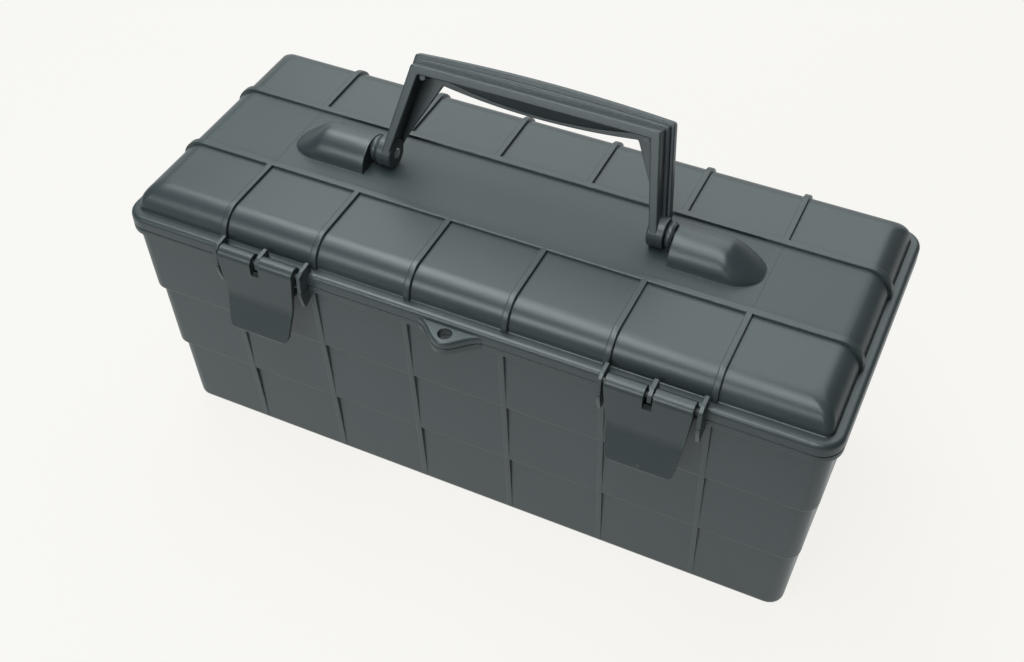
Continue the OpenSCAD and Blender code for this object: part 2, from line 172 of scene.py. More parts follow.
def slab(loop, low, high, r, place, steps=3, top_r=None):
    """An outline given a thickness, with its edges rounded."""
    rings = [[place(u, v, low + rise) for u, v in shrunk(loop, inset)]
             for rise, inset in ramp(r, steps)]
    rings += [[place(u, v, high - rise) for u, v in shrunk(loop, inset)]
              for rise, inset in reversed(ramp(top_r or r, steps))]
    return loft(rings)


def across(u, v, w):
    """Side outlines (y, z) given a thickness along x."""
    return (w, u, v)


def upright(u, v, w):
    """Plan outlines (x, y) given a height."""
    return (u, v, w)


def facing(u, v, w):
    """Front outlines (x, z) given a depth along y."""
    return (u, w, v)


def turned(section, y, z, steps):
    """A closed section of (x, radius) points, spun about a line along x."""
    angles = [2 * pi * k / steps for k in range(steps)]
    rings = [[(x, y + r * cos(a), z + r * sin(a)) for x, r in section] for a in angles]
    return loft(rings, closed=True)


def rod(x0, x1, r, y, z):
    """A round bar along x."""
    return slab(arc(y, z, r, 0, 351, 39), x0, x1, 0.01, across)


def softened(corners, steps=3):
    """A polygon of (u, v, radius) corners as points, each corner rounded."""
    points = []
    for i, (x, y, r) in enumerate(corners):
        ax, ay, _ = corners[i - 1]
        bx, by, _ = corners[(i + 1) % len(corners)]
        a, b = Vector((ax - x, ay - y)), Vector((bx - x, by - y))
        half = a.angle(b) / 2
        cut = min(r / tan(half), a.length * 0.48, b.length * 0.48) if r else 0
        if cut < 0.02:
            points.append((x, y))
            continue
        p, q = Vector((x, y)) + a.normalized() * cut, Vector((x, y)) + b.normalized() * cut
        for k in range(steps + 1):
            t = k / steps
            s = p * (1 - t) ** 2 + Vector((x, y)) * 2 * t * (1 - t) + q * t * t
            points.append((s.x, s.y))
    return points


# ---- meshes ----

def placed(name, data):
    """A new object in the scene, for a mesh, a lamp or a camera."""
    piece = bpy.data.objects.new(name, data)
    bpy.context.scene.collection.objects.link(piece)
    return piece


def cleaned(mesh):
    """Doubled corners go, and the faces point outwards."""
    work = bmesh.new()
    work.from_mesh(mesh)
    bmesh.ops.remove_doubles(work, verts=work.verts, dist=1e-6)
    bmesh.ops.recalc_face_normals(work, faces=work.faces)
    work.to_mesh(mesh)
    work.free()


def as_object(name, solid):
    """A mesh object in metres, with its faces pointing outwards."""
    mesh = bpy.data.meshes.new(name)
    mesh.from_pydata([(x * MM, y * MM, z * MM) for x, y, z in solid[0]], [], solid[1])
    cleaned(mesh)
    return placed(name, mesh)


def settled(piece, name):
    """The piece as its modifiers show it, as a new plain mesh object."""
    graph = bpy.context.evaluated_depsgraph_get()
    graph.update()
    mesh = bpy.data.meshes.new_from_object(piece.evaluated_get(graph))
    mesh.name = name
    made = placed(name, mesh)
    discard(piece)
    return made


def discard(*pieces):
    """Helpers that are no longer needed leave the scene."""
    for piece in pieces:
        mesh = piece.data
        bpy.data.objects.remove(piece)
        if mesh.users == 0:
            bpy.data.meshes.remove(mesh)


def carved(piece, *cutters):
    """The piece with the cutters' shapes taken out of it."""
    name = piece.name
    for cutter in cutters:
        step = piece.modifiers.new("hole", "BOOLEAN")
        step.operation = "DIFFERENCE"
        step.solver = "EXACT"
        step.object = cutter
    made = settled(piece, name)
    discard(*cutters)
    return made


def merged(name, *pieces):
    """Several mesh objects as one."""
    work = bmesh.new()
    for piece in pieces:
        work.from_mesh(piece.data)
    mesh = bpy.data.meshes.new(name)
    work.to_mesh(mesh)
    work.free()
    discard(*pieces)
    return placed(name, mesh)


def finished(piece, material, slot, body, *nodes):
    """Shading, material and place in the frame of a piece that is done."""
    mesh = piece.data
    mesh.materials.clear()
    mesh.materials.append(material)
    for face in mesh.polygons:
        face.use_smooth = True
        face.material_index = 0
    mesh.set_sharp_from_angle(angle=radians(SHARP_ANGLE))
    even = piece.modifiers.new("even shading", "WEIGHTED_NORMAL")
    even.keep_sharp = True
    even.weight = 80
    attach(piece, body)
    if nodes:
        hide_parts(*nodes)
    return piece


# ---- materials ----

def linear(code):
    """A six-digit sRGB colour as linear values."""
    values = [int(code[i:i + 2], 16) / 255 for i in (1, 3, 5)]
    return tuple(v / 12.92 if v <= 0.04045 else ((v + 0.055) / 1.055) ** 2.4 for v in values)


def add(tree, kind, sources=None, **settings):
    """One node, with its settings and what feeds its inputs."""
    node = tree.nodes.new(kind)
    for key, value in settings.items():
        if key.startswith("in_"):
            node.inputs[key[3:].replace("_", " ")].default_value = value
        else:
            setattr(node, key, value)
    for key, source in (sources or {}).items():
        tree.links.new(source, node.inputs[key])
    return node


def maths(tree, operation, *terms):
    """One maths node; each term is a socket or a number."""
    node = add(tree, "ShaderNodeMath", operation=operation)
    for i, term in enumerate(terms):
        if isinstance(term, (int, float)):
            node.inputs[i].default_value = term
        else:
            tree.links.new(term, node.inputs[i])
    return node.outputs[0]


def ranged(tree, source, *values):
    """A value taken from one range (low, high) to another (low, high)."""
    node = add(tree, "ShaderNodeMapRange", {"Value": source})
    for key, value in zip(("From Min", "From Max", "To Min", "To Max"), values):
        node.inputs[key].default_value = value
    return node.outputs["Result"]


def blank_material(name):
    """A material without nodes yet: (material, tree, object coordinates)."""
    material = bpy.data.materials.new(name)
    material.use_nodes = True
    tree = material.node_tree
    tree.nodes.clear()
    return material, tree, add(tree, "ShaderNodeTexCoord").outputs["Object"]


def moulded_plastic(name, colour, roughness, grain, specks=0.0, dull_panel=0.0):
    """Polypropylene moulded against a spark-eroded tool: a fine even grain that
    breaks up highlights, slow drifts of tone from flow, and a few pale scuffs.
    The lid's middle panel, between its long ribs, can have a duller grain."""
    mottle, drift, scuff, relief = 0.05, 45.0, 2.2, 0.08
    material, tree, place = blank_material(name)
    fine = add(tree, "ShaderNodeTexNoise", {"Vector": place},
               in_Scale=1 / (grain * MM), in_Detail=2.0, in_Roughness=0.6).outputs["Fac"]
    flow = add(tree, "ShaderNodeTexNoise", {"Vector": place},
               in_Scale=1 / (drift * MM), in_Detail=3.0, in_Roughness=0.5).outputs["Fac"]
    marks = add(tree, "ShaderNodeTexNoise", {"Vector": place}, in_Scale=1 / (scuff * MM), in_Detail=1.0)
    shade = maths(tree, "MULTIPLY", ranged(tree, flow, 0.3, 0.7, 1 - mottle, 1 + mottle),
                  ranged(tree, fine, 0.3, 0.7, 0.94, 1.06))
    shade = maths(tree, "ADD", shade, ranged(tree, marks.outputs["Fac"], 0.72, 0.78, 0.0, specks))
    paint = add(tree, "ShaderNodeVectorMath", {"Scale": shade}, operation="SCALE")
    paint.inputs[0].default_value = colour[:3]
    where = add(tree, "ShaderNodeSeparateXYZ", {0: place})
    across_y = maths(tree, "ABSOLUTE", where.outputs["Y"])
    between = maths(tree, "LESS_THAN", across_y, (LONG_RIB_Y - 1.0) * MM)
    on_top = maths(tree, "COMPARE", where.outputs["Z"], TOP_Z * MM, 0.4 * MM)
    gloss = maths(tree, "MULTIPLY_ADD", maths(tree, "MULTIPLY", between, on_top), dull_panel,
                  ranged(tree, flow, 0.0, 1.0, roughness - 0.05, roughness + 0.05))
    bump = add(tree, "ShaderNodeBump", {"Height": fine}, in_Strength=0.5, in_Distance=relief * MM)
    shader = add(tree, "ShaderNodeBsdfPrincipled",
                 {"Base Color": paint.outputs[0], "Roughness": gloss,
                  "Normal": bump.outputs["Normal"]}, in_IOR=1.49)
    add(tree, "ShaderNodeOutputMaterial", {"Surface": shader.outputs["BSDF"]})
    return material


def drawn_steel(name, colour, gloss_low=0.22, metallic=1.0):
    """Drawn steel wire: fine lines left by the die run along the pin; blackened
    wire keeps the lines under a dull oxide skin."""
    material, tree, place = blank_material(name)
    stretch = add(tree, "ShaderNodeMapping", {"Vector": place})
    stretch.inputs["Scale"].default_value = (60, 4000, 4000)
    lines = add(tree, "ShaderNodeTexNoise", {"Vector": stretch.outputs["Vector"]},
                in_Scale=1.0, in_Detail=2.0).outputs["Fac"]
    bump = add(tree, "ShaderNodeBump", {"Height": lines}, in_Strength=0.2, in_Distance=0.02 * MM)
    shader = add(tree, "ShaderNodeBsdfPrincipled",
                 {"Roughness": ranged(tree, lines, 0.0, 1.0, gloss_low, gloss_low + 0.2),
                  "Normal": bump.outputs["Normal"]}, in_Metallic=metallic)
    shader.inputs["Base Color"].default_value = (*colour[:3], 1)
    add(tree, "ShaderNodeOutputMaterial", {"Surface": shader.outputs["BSDF"]})
    return material


def material_of(name):
    """The named material, made from the user's colours on first use."""
    if name in bpy.data.materials:
        return bpy.data.materials[name]
    looks = bpy.context.scene.tool_case_finish
    # by kind: colour, added roughness, and the rest
    plastic = {"case": (looks.case_colour, 0.0, {"specks": 0.10, "dull_panel": 0.12}),
               "latch": (looks.latch_colour, 0.0, {}), "handle": (looks.handle_colour, 0.03, {}),
               "tray": (looks.tray_colour, 0.0, {})}
    kind = name.rpartition(", ")[2]
    if kind in plastic:
        colour, rougher, more = plastic[kind]
        return moulded_plastic(name, colour, looks.roughness + rougher, looks.grain * 1000, **more)
    if name == "blackened steel, pins":
        return drawn_steel(name, looks.black_steel_colour, 0.4, 0.0)
    return drawn_steel(name, looks.steel_colour)


# ---- node trees for what repeats or follows the rim ----

def geometry_tree(name, result, **inputs):
    """A geometry node tree with its sockets: (tree, what it is given)."""
    tree = bpy.data.node_groups.new(name, "GeometryNodeTree")
    for key, kind in inputs.items():
        tree.interface.new_socket(name=key.replace("_", " "), in_out="INPUT", socket_type="NodeSocket" + kind)
    tree.interface.new_socket(name=result, in_out="OUTPUT", socket_type="NodeSocketGeometry")
    return tree, add(tree, "NodeGroupInput").outputs


def given_out(tree, geometry, material, result):
    """The end of a tree: real geometry in its material."""
    real = add(tree, "GeometryNodeRealizeInstances", {"Geometry": geometry})
    coat = add(tree, "GeometryNodeSetMaterial", {"Geometry": real.outputs[0], "Material": material})
    add(tree, "NodeGroupOutput", {result: coat.outputs[0]})


def row_tree():
    """Geometry nodes: one rib repeated along a line, and again on the far side."""
    tree, given = geometry_tree("row of ribs", "Ribs", Rib="Geometry", Count="Int", Step="Vector",
                                Far_Side="Bool", Material="Material")
    half = maths(tree, "MULTIPLY", maths(tree, "SUBTRACT", given["Count"], 1), -0.5)
    start = add(tree, "ShaderNodeVectorMath", {0: given["Step"], "Scale": half}, operation="SCALE")
    line = add(tree, "GeometryNodeMeshLine", {"Count": given["Count"], "Start Location": start.outputs[0],
                                              "Offset": given["Step"]})
    row = add(tree, "GeometryNodeInstanceOnPoints", {"Points": line.outputs[0], "Instance": given["Rib"]})
    near = add(tree, "GeometryNodeRealizeInstances", {"Geometry": row.outputs[0]})
    far = add(tree, "GeometryNodeTransform", {"Geometry": near.outputs[0]}, in_Rotation=(0, 0, pi))
    choice = add(tree, "GeometryNodeSwitch", {"Switch": given["Far Side"], "True": far.outputs[0]},
                 input_type="GEOMETRY")
    both = add(tree, "GeometryNodeJoinGeometry")
    tree.links.new(near.outputs[0], both.inputs[0])
    tree.links.new(choice.outputs[0], both.inputs[0])
    given_out(tree, both.outputs[0], given["Material"], "Ribs")
    return tree


def rim_tree():
    """Geometry nodes: a section swept round a rectangle with round corners."""
    tree, given = geometry_tree("rim", "Rim", Section="Geometry", Length="Float", Depth="Float",
                                Corner="Float", Height="Float", Material="Material")
    section = add(tree, "GeometryNodeMeshToCurve", {"Mesh": given["Section"]})
    plan = add(tree, "GeometryNodeCurvePrimitiveQuadrilateral",
               {"Width": given["Length"], "Height": given["Depth"]})
    path = add(tree, "GeometryNodeFilletCurve", {"Curve": plan.outputs[0], "Radius": given["Corner"]})
    if "Mode" in path.inputs:
        path.inputs["Mode"].default_value = "Poly"
    else:
        path.mode = "POLY"
    path.inputs["Count"].default_value = 10
    sweep = add(tree, "GeometryNodeCurveToMesh",
                {"Curve": path.outputs[0], "Profile Curve": section.outputs[0]})
    up = add(tree, "ShaderNodeCombineXYZ", {"Z": given["Height"]})
    lifted = add(tree, "GeometryNodeTransform", {"Geometry": sweep.outputs[0], "Translation": up.outputs[0]})
    given_out(tree, lifted.outputs[0], given["Material"], "Rim")
    return tree


def tree_named(name, maker):
    """The node tree of that name, made on first use."""
    return bpy.data.node_groups.get(name) or maker()


def grown(piece, tree, name, **values):
    """The piece run through a node tree, as a plain mesh."""
    step = piece.modifiers.new("growth", "NODES")
    step.node_group = tree
    for socket in tree.interface.items_tree:
        key = socket.name.lower().replace(" ", "_")
        if socket.in_out == "INPUT" and key in values:
            step[socket.identifier] = values[key]
    return settled(piece, name)


def rib_row(name, solid, count, step, far_side, material):
    """A row of like ribs, in metres."""
    tree = tree_named("row of ribs", row_tree)
    return grown(as_object(name, solid), tree, name, count=count, step=step, far_side=far_side,
                 material=material)


def swept_rim(name, section, material):
    """A rim with the given section of (distance inside the rim, height) points."""
    mesh = bpy.data.meshes.new(name)
    points = [(-inset * MM, -z * MM, 0) for inset, z in section]
    mesh.from_pydata(points, [(i, (i + 1) % len(points)) for i in range(len(points))], [])
    made = grown(placed(name, mesh), tree_named("rim", rim_tree), name, length=2 * RIM_X * MM,
                 depth=2 * RIM_Y * MM, corner=RIM_R * MM, height=0.0, material=material)
    cleaned(made.data)
    return made


# ---- shared outlines ----

def line_x(z):
    """Half length of the bin's taper line at a height."""
    return RIM_X - 1.4 - (LIP_Z - z) * TAPER


def line_y(z):
    """Half depth of the bin's taper line at a height."""
    return RIM_Y - 1.0 - (LIP_Z - z) * TAPER


def padlock_tab(z0, z1, *edges):
    """Bell-shaped padlock tab between two heights, with its hole."""
    bell = [(EYE_HALF * (i / 14 - 1), -RIM_Y - EYE_REACH * (0.5 + 0.5 * cos(pi * (i / 14 - 1))))
            for i in range(29)]
    outline = [(EYE_HALF, -RIM_Y + 3), (-EYE_HALF, -RIM_Y + 3)] + bell[1:-1]
    circle = arc(0, EYE_Y, EYE_R, 0, 352.5, 47)
    bore = loft([[(x, y, z) for x, y in circle] for z in (z0 - 3, z1 + 3)])
    return carved(as_object("tab", slab(outline, z0, z1, *edges)), as_object("eye", bore))


def hinge_leaf(x0, x1, low):
    """One hinge knuckle and the block that joins it to its rim."""
    z0, z1 = (LIP_Z, PARTING_Z) if low else (SKIRT_Z, 152.4)
    block = slab(oblong(RIM_Y - 1, z0, HINGE_Y, z1), x0, x1, 0.4, across)
    section = [(x0, 1.8), (x0, HINGE_R - 0.4), (x0 + 0.4, HINGE_R), (x1 - 0.4, HINGE_R),
               (x1, HINGE_R - 0.4), (x1, 1.8)]
    return together(block, turned(section, HINGE_Y, HINGE_Z, 32))


# ---- the bin ----

def bin_level(z, inset, r, height=None):
    """A ring inside the taper lines as they are at z, at that height or at its own."""
    return level(line_x(z) - inset, line_y(z) - inset, r, z if height is None else height)


def tier_levels(z0, z1, foot):
    """Rings of one tier: a rounded foot on the taper line, and a head one step inside it."""
    rings = []
    for k in range(5):
        a = radians(90 * k / 4)
        inset = foot * (1 - sin(a))
        rings.append(bin_level(z0, inset, TIER_R - inset * 0.6, z0 + foot * (1 - cos(a))))
    rings.append(bin_level(z1, TIER_STEP, TIER_R))
    return rings


def bin_shell():
    """The three tiers outside and the stepped hollow inside."""
    top_z, floor_r, inner_r = 148, 2.6, TIER_R - WALL
    outside = (tier_levels(0, MIDDLE_Z, 4.0) + tier_levels(MIDDLE_Z, UPPER_Z, 1.9)
               + tier_levels(UPPER_Z, LIP_Z + 1, 1.9) + [bin_level(top_z, 2.2, TIER_R)])
    inside = [bin_level(z, inset, inner_r) for z, inset in (
        (top_z, 3.7), (UPPER_Z + 0.4, 2.3), (UPPER_Z, 2.7), (UPPER_Z - 0.2, 4.0), (UPPER_Z - 2, 4.3),
        (MIDDLE_Z + 2.2, 2.4), (MIDDLE_Z + 1.6, 4.0), (MIDDLE_Z, 4.3))]
    for k in range(5):
        a = radians(90 * (4 - k) / 4)
        inset = WALL + floor_r * (1 - sin(a))
        inside.append(bin_level(2, inset, inner_r - 1, WALL + floor_r * (1 - cos(a))))
    return loft(outside + inside)


def bin_rib_outline(line):
    """Side outline of a bin rib: straight down the taper line."""
    root = TIER_STEP + WALL / 2
    return [(-line(LIP_Z + 0.6), LIP_Z + 0.6), (-line(3.4), 3.4), (-line(3.4) + root, 3.4),
            (-line(LIP_Z) + root, LIP_Z + 0.6)]


def bin_ear(x):
    """Ear plate under the parting line, beside a latch."""
    return slab([(-RIM_Y + 3, PARTING_Z), (EAR_FRONT, PARTING_Z), (EAR_FRONT, PARTING_Z - 3),
                 (EAR_FRONT + 2.4, PARTING_Z - 11.5), (-line_y(LIP_Z) + 2.8, LIP_Z - 4)],
                x - EAR_T / 2, x + EAR_T / 2, 0.35, across)


def build_bin():
    """The bin as one piece."""
    finish = material_of("moulded polypropylene, case")
    sizes = bpy.context.scene.tool_case_sizes
    half = sizes.rib_width * 500
    shell = as_object("shell", bin_shell())
    side_rib = slab(bin_rib_outline(line_y), -half, half, 0.5, across)
    side_ribs = rib_row("side ribs", side_rib, 6, (sizes.rib_pitch, 0, 0), True, finish)
    end_rib = slab(bin_rib_outline(line_x), -half, half, 0.5, facing)
    end_ribs = rib_row("end ribs", end_rib, 2, (0, 2 * LONG_RIB_Y * MM, 0), True, finish)
    bead_z = 151.5
    lip = swept_rim("lip", softened([
        (0, LIP_Z, 1.0), (0, PARTING_Z, 0.8), (3, PARTING_Z, 0), (3, bead_z, 0.5), (4.8, bead_z, 0.5),
        (4.8, PARTING_Z, 0), (6.1, PARTING_Z, 0.4), (6.1, LIP_Z, 0)]), finish)
    ears = [bin_ear(s * STATION_X + e * EAR_X) for s in SIDES for e in SIDES]
    spans = [sorted((s * STATION_X + e * 14.4, s * STATION_X + e * 25)) for s in SIDES for e in SIDES]
    leaves = [hinge_leaf(a, b, True) for a, b in spans]
    fittings = as_object("fittings", together(*ears, *leaves))
    tab = padlock_tab(LIP_Z, PARTING_Z, 0.5, upright)
    whole = merged("bin_body", shell, side_ribs, end_ribs, lip, fittings, tab)
    finished(whole, finish, "case_plastic", "case", "bin")


# ---- the lid ----

def dome_rings(grow):
    """Rings of the dome from its foot to the edge of its flat top."""
    r = bpy.context.scene.tool_case_sizes.dome_round * 1000 + grow
    top = TOP_Z + grow
    foot = ((0.9, -1.2), (0.9, 0.0), (0.4, 0.12), (0.12, 0.4), (0.0, 1.0)) if grow == 0 else ((0.0, -1.2),)
    rings = [level(DOME_X + grow + out, DOME_Y + grow + out, DOME_CORNER + grow + out, LEDGE_Z + up)
             for out, up in foot]
    for k in range(17):
        a = radians(90 * k / 16)
        inset = r * (1 - cos(a))
        rings.append(level(DOME_X + grow - inset, DOME_Y + grow - inset, DOME_CORNER + grow + inset * 0.12,
                           top - r + r * sin(a)))
    return rings


def strap(path, half, proud):
    """A raised rib along a path of (position, outward direction) pairs; it is square to x."""
    section = softened([(-half - 0.25, -1.2, 0), (half + 0.25, -1.2, 0), (half, proud, 0.7),
                        (-half, proud, 0.7)])
    return loft([[(a, p[0] + n[0] * h, p[1] + n[1] * h) for a, h in section] for p, n in path])


def roll_path(half, start):
    """Path from a distance out from the middle, over the dome's edge and down to the ledge."""
    r = bpy.context.scene.tool_case_sizes.dome_round * 1000
    path = [((-start, TOP_Z - 0.06), (0, 1)), ((-start - 2.4, TOP_Z), (0, 1))]
    for k in range(17):
        a = radians(90 * k / 16)
        path.append(((-(half - r) - r * sin(a), TOP_Z - r + r * cos(a)), (-sin(a), cos(a))))
    path.append(((-half, LEDGE_Z - 0.8), (-1, 0)))
    return path


def boss():
    """Half-round boss whose far end slopes down to a round nose, with a small fillet at its foot."""
    ridge, far = BOSS_X + BOSS_L, BOSS_X + BOSS_L + BOSS_SLOPE
    reach = 17
    nose = far - reach
    stations = [(BOSS_X, 0.8), (BOSS_X + 0.25, 0.25), (BOSS_X + 0.8, 0.0), (BOSS_X + 8, 0.0),
                (BOSS_X + 18, 0.0)]
    stations += [(ridge - 6 + k, 0.0) for k in range(12)]
    stations += [(nose + reach * sin(radians(a)), 0.0)
                 for a in (14, 22, 30, 38, 46, 54, 61, 68, 74, 79, 83, 86, 88.5)]
    rings = []
    for x, inset in stations:
        r = BOSS_R - inset
        wide = r * sqrt(1 - (max(x - nose, 0) / (far - nose)) ** 2)
        slope = (far - x) * BOSS_R / BOSS_SLOPE
        high = 0.5 * (r + slope - sqrt((r - slope) ** 2 + 2.2))
        high = max(high, 0.5 * wide * (far - x) / (far - nose) + 0.3) if x > nose else high
        ring = [(x, -wide - 0.9, TOP_Z - 1), (x, -wide - 0.9, TOP_Z + 0.04),
                (x, -wide - 0.3, TOP_Z + 0.16)]
        for k in range(1, 32):
            t = pi * k / 32
            ring.append((x, -wide * cos(t), TOP_Z + max(high * sin(t), 0.25)))
        ring += [(x, wide + 0.3, TOP_Z + 0.16), (x, wide + 0.9, TOP_Z + 0.04), (x, wide + 0.9, TOP_Z - 1)]
        rings.append(ring)
    return loft(rings)


def lid_ear(x, t, back, low):
    """Ear plate on the ledge that carries a latch pin; a low one ends above the ledge's foot."""
    front = EAR_FRONT + back
    outline = [(-RIM_Y + 4.7, LEDGE_Z - 1.5, 0), (-RIM_Y + 3.8, EAR_TOP, 0.8),
               (LATCH_Y + 1.2, EAR_TOP - 0.6, 1.6), (EAR_FRONT + 0.6, EAR_TOP - 2.4, 1.6)]
    if low:
        outline += [(front, low, 1.2), (-RIM_Y + 1, low - 1.6, 0)]
    else:
        outline += [(front, SKIRT_Z, 0), (-RIM_Y + 1, SKIRT_Z, 0), (-RIM_Y + 1, LEDGE_Z - 1.5, 0)]
    return slab(softened(outline), x - t / 2, x + t / 2, 0.35, across)


def build_lid():
    """The lid as one piece."""
    finish = material_of("moulded polypropylene, case")
    sizes = bpy.context.scene.tool_case_sizes
    half, long_half = sizes.rib_width * 500, sizes.long_rib_width * 500
    proud = sizes.rib_height * 1000
    dome = as_object("dome", loft(dome_rings(0)[::-1] + dome_rings(-WALL)))
    rim = swept_rim("skirt", softened([
        (0, SKIRT_Z, 0.7), (0, LEDGE_Z, 3.2), (9.6, LEDGE_Z + 0.1, 0), (9.6, LEDGE_Z - WALL, 0),
        (WALL, LEDGE_Z - WALL, 0.5), (WALL, SKIRT_Z, 0.3)], steps=6), finish)
    cross = strap(roll_path(DOME_Y, LONG_RIB_Y + 1), half, proud)
    cross_ribs = rib_row("cross ribs", cross, 6, (sizes.rib_pitch, 0, 0), True, finish)
    end = strap(roll_path(DOME_X, 0.0), long_half, proud)
    end = ([(y, x, z) for x, y, z in end[0]], [loop[::-1] for loop in end[1]])
    end_ribs = rib_row("long ribs", end, 2, (0, 2 * LONG_RIB_Y * MM, 0), True, finish)
    bosses = together(boss(), mirrored(boss()))
    witness = [slab(oblong(x - 0.3, -26.6, x + 0.3, 26.6), TOP_Z - 0.5, TOP_Z + 0.12, 0.1, upright)
               for x in (-142.5, 142.5)]
    leaves = [hinge_leaf(s * STATION_X - 14, s * STATION_X + 14, False) for s in SIDES]
    trim = as_object("trim", together(bosses, *witness, *leaves))
    tab = padlock_tab(SKIRT_Z, 154.0, 0.6, upright, 5, 1.8)
    ears = []
    for s in SIDES:
        for x, t, back, low in ((-EAR_X, EAR_T, 0, None), (EAR_X, EAR_T, 0, None),
                                (0, 2.6, 0.4, LATCH_Z - 3.6)):
            x += s * STATION_X
            ears.append(carved(as_object("ear", lid_ear(x, t, back, low)),
                               as_object("hole", rod(x - 5, x + 5, LATCH_BORE_R, LATCH_Y, LATCH_Z))))
    whole = merged("lid_body", dome, rim, cross_ribs, end_ribs, trim, tab, *ears)
    finished(whole, finish, "case_plastic", "lid", "lid")


# ---- the handle ----

def bail_place(x, s, d):
    """From the handle's own plane (across, up, forward) to the frame."""
    return (x, s * sin(LEAN) - d * cos(LEAN), PIVOT_Z + s * cos(LEAN) + d * sin(LEAN))


def bail_section():
    """The handle's section as (inset, forward, share of the web's reach) points."""
    corners = [(0, BACK_D, 1.2), (0, -3.1, 0.9), (1.7, -3.1, 0.3), (1.7, 0.1, 0.8), (3.5, 0.1, 0.3),
               (3.5, FRONT_D, 1.0), (8.3, FRONT_D, 0.7), (8.3, 6.2, 0.6), (ARM_IN, 6.2, 0.4),
               (ARM_IN, WEB_D, 0.4), (WEB_IN, WEB_D, 0.6), (WEB_IN, BACK_D, 0.9)]
    points = []
    for inset, d in softened(corners, 4):
        share = 0.0 if inset <= 9.75 else 1 - (WEB_IN - inset) / (WEB_IN - ARM_IN)
        points.append((ARM_IN if share else inset, d, share))
    return points


def bail_arch(inset):
    """Rise of the grip's middle: high on the back ridge, almost none on the front rim."""
    full = bpy.context.scene.tool_case_sizes.grip_arch * 1000
    return full + (0.4 - full) * min(inset / 3.5, 1)


def bail_arm(side, t):
    """One ring of an arm; t runs from the hub to the top corner."""
    web_x = [(0.0, HUB_IN, 3.6), (0.1, HUB_IN - 1.6, 8.2), (1.0, GRIP_X - WEB_X, RISE - WEB_S)]
    ring = []
    for inset, d, share in bail_section():
        x = FOOT_X + (GRIP_X - FOOT_X) * t - inset
        s = 0.6 + (RISE - inset - 0.6) * t
        if share:
            for (ta, xa, sa), (tb, xb, sb) in zip(web_x, web_x[1:]):
                if ta <= t <= tb:
                    f = (t - ta) / (tb - ta)
                    x += (xa + (xb - xa) * f - x) * share
                    s += (sa + (sb - sa) * f - s) * share
                    break
        d -= max(d, 0) / FRONT_D * 0.08 * max(1 - t * 5, 0)
        ring.append((side * x, s, d))
    return ring


def bail_top(t):
    """One ring of the grip; t runs from -1 at the left corner to 1 at the right.
    Its underside slopes from the front lip back to the foot of the web."""
    belly, ring = sqrt(max(1 - t * t, 0)), []
    for inset, d, share in bail_section():
        x = t * (GRIP_X - inset)
        s = RISE - inset + bail_arch(inset) * (1 - t * t)
        foot = RISE - WEB_S - WEB_SAG * (1 - t * t)
        if share:
            x += (t * (GRIP_X - WEB_X) - x) * share
            s += (foot - s) * share
        elif 6.7 < inset < 7.3 and d < 6.3:
            s -= belly * (1.3 if d > 0 else 0.95 * (s - foot - 1))
        ring.append((x, s, d))
    return ring


def bail():
    """The whole bail, corner to corner, with its top corners slightly rounded."""
    arm = [0.0, 0.05, 0.1, 0.2, 0.35, 0.55, 0.75, 0.9, 0.974]
    rings = [bail_arm(-1, t) for t in arm]
    grip = [-0.984, -0.93] + [k / 10 for k in range(-8, 9)] + [0.93, 0.984]
    tops = [bail_top(t) for t in grip]
    far = [bail_arm(1, t) for t in reversed(arm)]

    def corner(a, b, c):
        return [tuple(0.25 * p[i] + 0.5 * q[i] + 0.25 * r[i] for i in range(3)) for p, q, r in zip(a, b, c)]

    rings.append(corner(rings[-1], bail_top(-1), tops[0]))
    rings += tops
    rings.append(corner(tops[-1], bail_top(1), far[0]))
    rings += far
    return loft([[bail_place(*p) for p in ring] for ring in rings])


